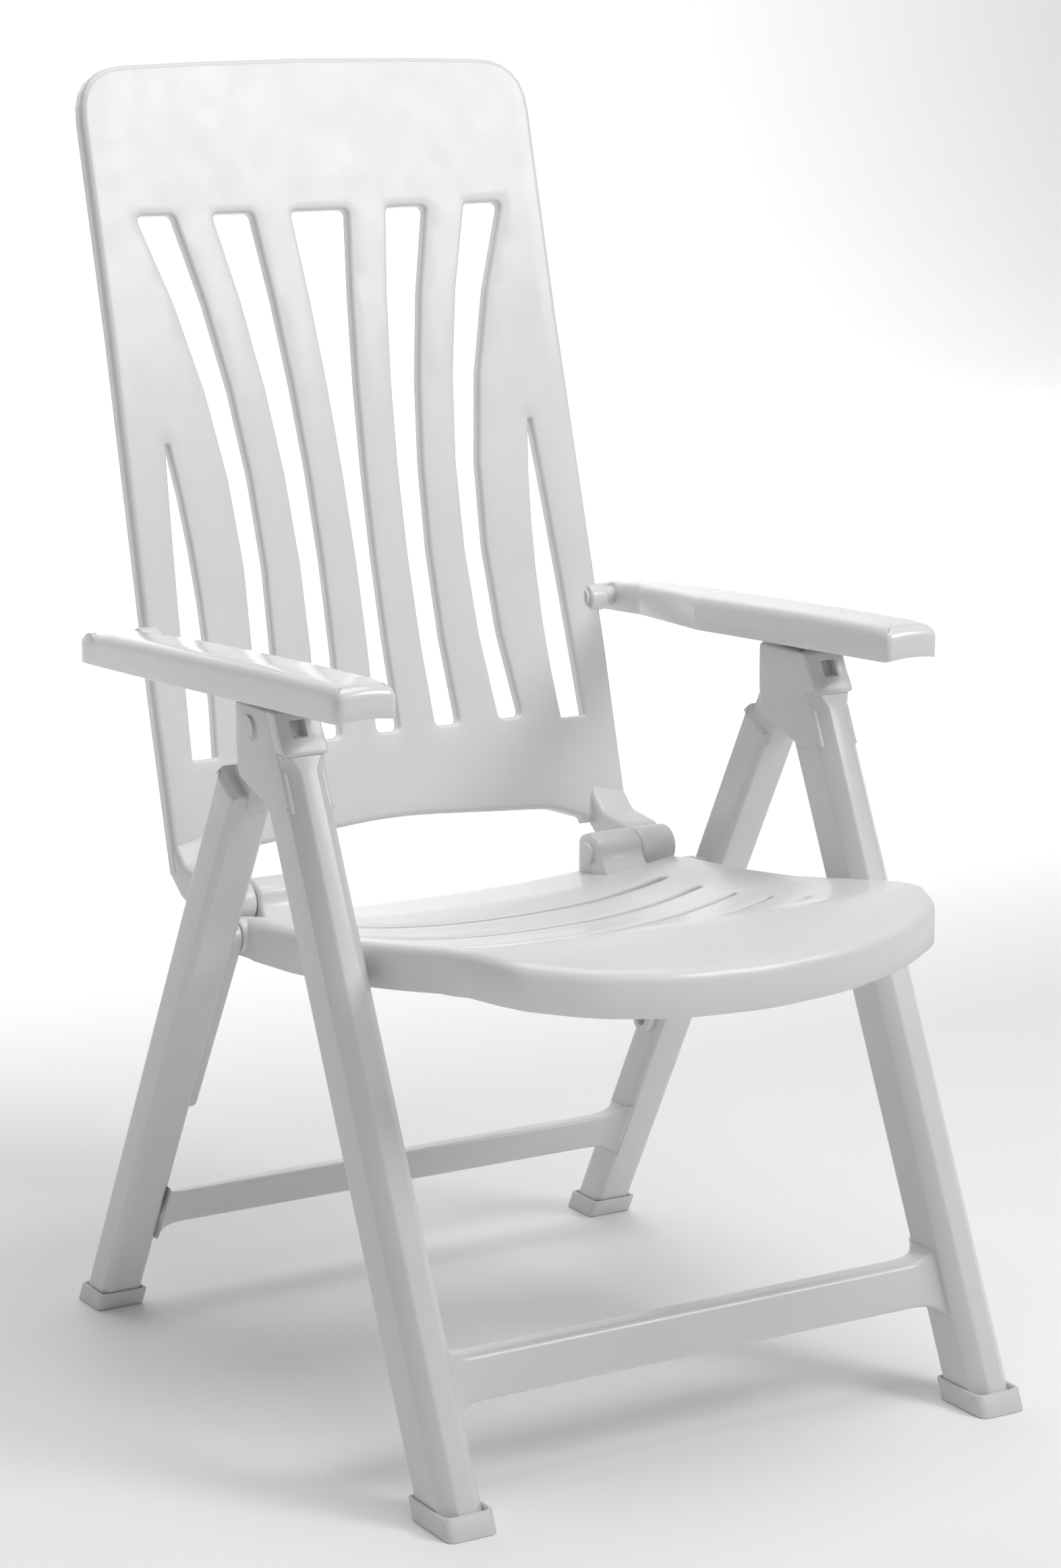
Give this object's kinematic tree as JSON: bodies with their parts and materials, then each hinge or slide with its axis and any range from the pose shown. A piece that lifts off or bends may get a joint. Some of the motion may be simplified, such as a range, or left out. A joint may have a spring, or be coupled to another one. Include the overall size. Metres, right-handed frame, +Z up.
{
  "type": "folding reclining garden armchair",
  "caption": "High-backed folding garden armchair of white moulded resin with reclining slatted back, hinged armrests and crossed legs.",
  "frame": {"origin": "on the floor under the middle of the chair's bounding box", "axes": "+X to the sitter's left across the chair, +Y towards the back, +Z up; the sitter faces -Y"},
  "size_m": [0.588, 0.7806, 1.1298],
  "materials": {
    "shell": "fine-grained gloss",
    "frame": "satin gloss",
    "arm": "polished gloss",
    "foot": "matte",
    "pin": "satin"
  },
  "bodies": {
    "front_frame": {"front_leg_frame": "frame", "front_foot_cap_left": "foot", "front_foot_cap_right": "foot", "leg_pivot_pin_left": "pin", "leg_pivot_pin_right": "pin", "arm_catch_left": "pin", "arm_catch_right": "pin"},
    "rear_frame": {"rear_leg_frame": "frame", "rear_foot_cap_left": "foot", "rear_foot_cap_right": "foot"},
    "seat": {"seat": "shell", "seat_front_pin_left": "pin", "seat_front_pin_right": "pin", "seat_slide_pin_left": "pin", "seat_slide_pin_right": "pin"},
    "hinge_pins": {"back_hinge_pin_left": "pin", "back_hinge_pin_right": "pin"},
    "back": {"backrest": "shell"},
    "arm_pin_left": {"arm_pivot_pin_left": "pin"},
    "arm_bush_left": {"arm_pivot_bush_left": "pin"},
    "arm_left": {"armrest_left": "arm"},
    "arm_pin_right": {"arm_pivot_pin_right": "pin"},
    "arm_bush_right": {"arm_pivot_bush_right": "pin"},
    "arm_right": {"armrest_right": "arm"}
  },
  "joints": [
    {"name": "leg_fold", "type": "hinge", "parent": "front_frame", "child": "rear_frame", "pos_m": [0, -0.05939, 0.6], "axis": [-1, 0, 0], "range_deg": [0, 39]},
    {"name": "seat_fold", "type": "hinge", "parent": "front_frame", "child": "seat", "pos_m": [0, -0.15196, 0.40884], "axis": [-1, 0, 0], "range_deg": [0, 78]},
    {"name": "back_fold", "type": "hinge", "parent": "seat", "child": "hinge_pins", "pos_m": [0, 0.10862, 0.408], "axis": [-1, 0, 0], "range_deg": [-92.82, 0]},
    {"name": "recline", "type": "hinge", "parent": "hinge_pins", "child": "back", "pos_m": [0, 0.10862, 0.408], "axis": [-1, 0, 0], "range_deg": [0, 33]},
    {"name": "arm_tilt_left", "type": "hinge", "parent": "back", "child": "arm_pin_left", "pos_m": [-0.265, 0.23361, 0.624], "axis": [-1, 0, 0], "range_deg": [-18.88, 0]},
    {"name": "arm_raise_left", "type": "hinge", "parent": "arm_pin_left", "child": "arm_bush_left", "pos_m": [-0.265, 0.23361, 0.624], "axis": [-1, 0, 0], "range_deg": [0, 121.29]},
    {"name": "arm_lift_left", "type": "hinge", "parent": "arm_bush_left", "child": "arm_left", "pos_m": [-0.265, 0.23361, 0.624], "axis": [-1, 0, 0], "range_deg": [-0.7, 28]},
    {"name": "arm_tilt_right", "type": "hinge", "parent": "back", "child": "arm_pin_right", "pos_m": [0.265, 0.23361, 0.624], "axis": [-1, 0, 0], "range_deg": [-18.88, 0]},
    {"name": "arm_raise_right", "type": "hinge", "parent": "arm_pin_right", "child": "arm_bush_right", "pos_m": [0.265, 0.23361, 0.624], "axis": [-1, 0, 0], "range_deg": [0, 121.29]},
    {"name": "arm_lift_right", "type": "hinge", "parent": "arm_bush_right", "child": "arm_right", "pos_m": [0.265, 0.23361, 0.624], "axis": [-1, 0, 0], "range_deg": [-0.7, 28]}
  ],
  "couplings": [
    {"joint": "seat_fold", "follows": "leg_fold", "ratio": 2},
    {"joint": "back_fold", "follows": "leg_fold", "ratio": -2.38},
    {"joint": "arm_tilt_left", "follows": "recline", "ratio": -0.572},
    {"joint": "arm_raise_left", "follows": "leg_fold", "ratio": 3.11},
    {"joint": "arm_tilt_right", "follows": "recline", "ratio": -0.572},
    {"joint": "arm_raise_right", "follows": "leg_fold", "ratio": 3.11}
  ]
}
